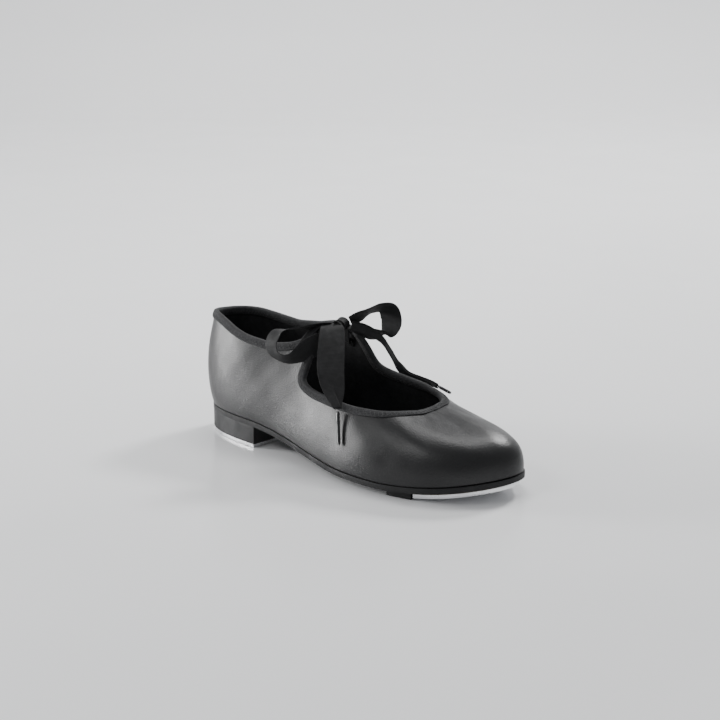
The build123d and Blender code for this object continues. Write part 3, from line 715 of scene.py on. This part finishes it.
def aglet(name, ends, radius=1.1, sides=20):
    """Film-wrapped ribbon end: a tapering tube with a lapped seam and closed, rounded ends."""
    start, end = (np.array(p, float) for p in ends)
    axis = end - start
    length = np.linalg.norm(axis)
    axis /= length
    side, other = square_to(axis, [0.2, 0.9, 0.3])
    outline = [(0.0, 0.35), (0.01, 0.8), (0.03, 1.0), (0.3, 1.0), (0.7, 0.94), (0.93, 0.86),
               (0.97, 0.78), (0.99, 0.6), (1.0, 0.25)]
    turn = np.arange(sides) * 2 * math.pi / sides
    lap = 1 + LAP_RISE * np.clip(1 - turn / LAP_RUN, 0, 1)
    rings = []
    for share, wide in outline:
        spread = (radius * wide * lap)[:, None]
        rings.append(start + axis * length * share
                     + spread * (np.cos(turn)[:, None] * side + np.sin(turn)[:, None] * other))
    faces = grid_faces(len(outline), sides, wrap_cols=True)
    faces.append(tuple(range(sides)))
    faces.append(tuple((len(outline) - 1) * sides + k for k in reversed(range(sides))))
    place(new_object(name + "_tip", put(rings), faces), "aglet", name)


for name, ends in AGLETS.items():
    aglet(name, ends)


# ---------------------------------------------------------------- finishes

NOISE_RANGE = (0.3, 0.7)  # the part of a noise's values that its blotches use


WEAVE_TURN = {"ribs": 0.0, "twill": 0.785}  # turn of a weave against its strip, in radians
WEAR_SCALE = 2.3  # wear's scale against the colour's


def node(tree, kind, links=(), **settings):
    """A shader node with its settings and its inputs, each a number or another socket."""
    made = tree.nodes.new("ShaderNode" + kind)
    for key, value in settings.items():
        setattr(made, key, value)
    for key, value in dict(links).items():
        if isinstance(value, bpy.types.NodeSocket):
            tree.links.new(value, made.inputs[key])
        else:
            made.inputs[key].default_value = value
    return made


def blotches(tree, vector, scale, low, high):
    """Noise spread over a range of one number."""
    noise = node(tree, "TexNoise", {"Vector": vector, "Scale": scale, "Detail": 5})
    spread = node(tree, "MapRange", {"Value": noise.outputs["Fac"], "From Min": NOISE_RANGE[0],
                                     "From Max": NOISE_RANGE[1], "To Min": low, "To Max": high})
    return spread.outputs["Result"]


def tinted(tree, vector, scale, *colours):
    """Noise spread between a dark and a light colour."""
    noise = node(tree, "TexNoise", {"Vector": vector, "Scale": scale, "Detail": 4})
    ramp = node(tree, "ValToRGB", {"Fac": noise.outputs["Fac"]})
    for stop, position, colour in zip(ramp.color_ramp.elements, NOISE_RANGE, colours):
        stop.position, stop.color = position, (*colour, 1)
    return ramp.outputs["Color"]


def relief(tree, kind, scale, place_in):
    """Height pattern of a bump: pebbled grain, woven ribs or twill, or plain noise."""
    if kind == "grain":
        return node(tree, "TexVoronoi", {"Vector": place_in, "Scale": scale}).outputs["Distance"]
    if kind == "noise":
        made = node(tree, "TexNoise", {"Vector": place_in, "Scale": scale, "Detail": 3})
        return made.outputs["Fac"]
    uv = node(tree, "TexCoord").outputs["UV"]
    turned = node(tree, "Mapping", {"Vector": uv, "Rotation": (0, 0, WEAVE_TURN[kind])})
    made = node(tree, "TexWave", {"Vector": turned.outputs["Vector"], "Scale": scale,
                                  "Distortion": 0.6, "Detail": 1.0},
                wave_type="BANDS", bands_direction="X")
    return made.outputs["Fac"]


def finish(name, dark, light, rough, patch_scale=40, metallic=0.0, sheen=0.0, coat=0.0,
           specular=0.5, bumps=()):
    """Finish with uneven colour and roughness. bumps is (kind, scale, height in mm) each."""
    mat = bpy.data.materials.new(name)
    mat.use_nodes = True
    tree = mat.node_tree
    shader = tree.nodes["Principled BSDF"]
    place_in = node(tree, "TexCoord").outputs["Object"]
    tree.links.new(tinted(tree, place_in, patch_scale, dark, light), shader.inputs["Base Color"])
    tree.links.new(blotches(tree, place_in, patch_scale * WEAR_SCALE, *rough),
                   shader.inputs["Roughness"])
    shader.inputs["Metallic"].default_value = metallic
    shader.inputs["Sheen Weight"].default_value = sheen
    shader.inputs["Coat Weight"].default_value = coat
    shader.inputs["Specular IOR Level"].default_value = specular
    normal = None
    for kind, scale, height in bumps:
        links = {"Height": relief(tree, kind, scale, place_in), "Distance": height * MM,
                 "Strength": 1.0}
        if normal is not None:
            links["Normal"] = normal
        normal = node(tree, "Bump", links).outputs["Normal"]
    if normal is not None:
        tree.links.new(normal, shader.inputs["Normal"])
    return mat


def grey(value):
    """A black or grey with a touch of blue."""
    return value, value, value * 1.06


FINISHES = {
    "upper_pu": finish("satin_pu", grey(0.006), grey(0.010), (0.34, 0.42), 30, specular=0.42,
                       bumps=[("grain", 1250, 0.07), ("noise", 700, 0.06)]),
    "binding_tape": finish("woven_tape", grey(0.014), grey(0.03), (0.75, 0.95), 300, sheen=0.04,
                           bumps=[("twill", 42, 0.12), ("noise", 2500, 0.08)]),
    "thread": finish("thread", grey(0.02), grey(0.04), (0.55, 0.75), 900, sheen=0.04,
                     bumps=[("noise", 5000, 0.04)]),
    "lining_cloth": finish("lining_knit", grey(0.010), grey(0.020), (0.85, 0.97), 180,
                           specular=0.25, bumps=[("grain", 1300, 0.1), ("noise", 3000, 0.05)]),
    "sock_foam": finish("sock_cloth", grey(0.004), grey(0.008), (0.85, 0.97), 150, specular=0.25,
                        bumps=[("grain", 1500, 0.1), ("noise", 500, 0.1)]),
    "stiffener": finish("fibre_board", (0.42, 0.35, 0.26), (0.6, 0.52, 0.4), (0.8, 0.95), 90,
                        bumps=[("noise", 1800, 0.06)]),
    "outsole_tpr": finish("moulded_sole", grey(0.006), grey(0.011), (0.5, 0.65), 60, specular=0.35,
                          bumps=[("noise", 1400, 0.03)]),
    "heel_black": finish("heel_black", grey(0.008), grey(0.013), (0.45, 0.6), 50, specular=0.35,
                         bumps=[("noise", 900, 0.02)]),
    "tap_metal": finish("satin_aluminium", (0.8, 0.8, 0.82), (0.9, 0.9, 0.91), (0.24, 0.38), 70,
                        metallic=1.0, bumps=[("noise", 1500, 0.012)]),
    "steel": finish("zinc_steel", (0.5, 0.5, 0.51), (0.62, 0.62, 0.63), (0.3, 0.45), 300,
                    metallic=1.0, bumps=[("noise", 2500, 0.01)]),
    "eyelet_black": finish("black_enamel", grey(0.012), grey(0.018), (0.25, 0.38), 300,
                           bumps=[("noise", 1500, 0.01)]),
    "ribbon": finish("grosgrain", grey(0.007), grey(0.014), (0.65, 0.82), 120, sheen=0.03,
                     specular=0.3, bumps=[("ribs", 32, 0.04), ("noise", 4000, 0.03)]),
    "aglet": finish("film_tip", grey(0.008), grey(0.013), (0.12, 0.22), 120, coat=0.4,
                    bumps=[("noise", 700, 0.015)]),
    "filler": finish("cork_filler", (0.3, 0.2, 0.11), (0.5, 0.37, 0.23), (0.8, 0.95), 300,
                     bumps=[("grain", 700, 0.3)]),
}

slot_of = {row["node"]: row["material_slot"] for row in frame["record"]["subparts"]}

for obj in list(bpy.context.scene.objects):
    if obj.type == "MESH":
        obj.data.materials.clear()
        obj.data.materials.append(FINISHES[LOOKS.get(obj.name) or slot_of[obj.name]])


# ---------------------------------------------------------------- studio

FLOOR_TURN = math.radians(42.3)
FLOOR_SUNK = 0.0003
FLOOR_COLUMNS = 9


def sweep(name, depth=3.2, width=7.0, back=1.6, radius=0.8, steps=24):
    """Pale floor that curves up into a wall behind the shoe, in metres."""
    away = np.array([-math.sin(FLOOR_TURN), math.cos(FLOOR_TURN), 0])
    side = np.array([math.cos(FLOOR_TURN), math.sin(FLOOR_TURN), 0])
    line = [(-depth, 0.0), (back, 0.0)]
    line += [(back + radius * math.sin(a), radius * (1 - math.cos(a)))
             for a in np.linspace(0, math.pi / 2, steps)[1:]]
    line += [(back + radius, radius + 0.1)]
    points = [away * d + np.array([0, 0, h - FLOOR_SUNK]) + side * s
              for d, h in line for s in np.linspace(-width / 2, width / 2, FLOOR_COLUMNS)]
    obj = new_object(name, points, grid_faces(len(line), FLOOR_COLUMNS))
    obj.data.materials.append(finish(name, (0.93, 0.935, 0.94), (0.96, 0.96, 0.965),
                                     (0.16, 0.24), 3, bumps=[("noise", 30, 0.02)]))


def softbox(name, at, aim, size, power):
    light = bpy.data.lights.new(name, "AREA")
    light.shape, light.size, light.size_y = "RECTANGLE", *size
    light.energy = power
    obj = link(name, light)
    obj.location = at
    obj.rotation_euler = (Vector(aim) - Vector(at)).to_track_quat("-Z", "Y").to_euler()


# Name, place, what it points at, width and height in metres, power in watts
LIGHTS = [
    ("key_light", (-1.28, -0.74, 0.27), (0, 0, 0.05), (0.42, 0.5), 22),
    ("back_light", (-0.1, 1.55, 1.35), (0.1, 0, 0.04), (0.40, 0.34), 27),
    ("vamp_light", (-0.25, -0.95, 0.95), (0.08, 0, 0.04), (0.5, 0.3), 3),
    ("wall_light", (-0.6, 0.7, 2.3), (-1.4, 1.5, 0.2), (1.4, 1.0), 42),
]
ROOM_COLOUR, ROOM_STRENGTH = (0.9, 0.92, 0.95, 1), 0.42

sweep("studio_floor")
for light_row in LIGHTS:
    softbox(*light_row)
world = bpy.data.worlds.new("studio")
bpy.context.scene.world = world
world.use_nodes = True
background = world.node_tree.nodes["Background"]
background.inputs["Color"].default_value = ROOM_COLOUR
background.inputs["Strength"].default_value = ROOM_STRENGTH

# Camera: turn, height and distance round a point over the middle of the shoe, and how far
# the view's middle is off that point, as slopes
VIEW_TURN, VIEW_HEIGHT = math.radians(42.274), math.radians(16.907)
VIEW_DISTANCE = 1.182256
LOOK_AT = Vector((0.0032, 0.00155, 0.040))
AIM_RIGHT, AIM_UP = 0.00093348, 0.02249701
SENSOR_WIDTH, LENS = 36.0, 89.88


def add_camera():
    towards = Vector((math.sin(VIEW_TURN) * math.cos(VIEW_HEIGHT),
                      -math.cos(VIEW_TURN) * math.cos(VIEW_HEIGHT), math.sin(VIEW_HEIGHT)))
    right = Vector((math.cos(VIEW_TURN), math.sin(VIEW_TURN), 0))
    above = towards.cross(right)
    lens = bpy.data.cameras.new("camera")
    lens.sensor_width, lens.lens = SENSOR_WIDTH, LENS
    camera = link("camera", lens)
    camera.location = LOOK_AT + towards * VIEW_DISTANCE
    aim = (-towards + right * AIM_RIGHT + above * AIM_UP).normalized()
    camera.rotation_euler = aim.to_track_quat("-Z", "Y").to_euler()
    bpy.context.scene.camera = camera


add_camera()
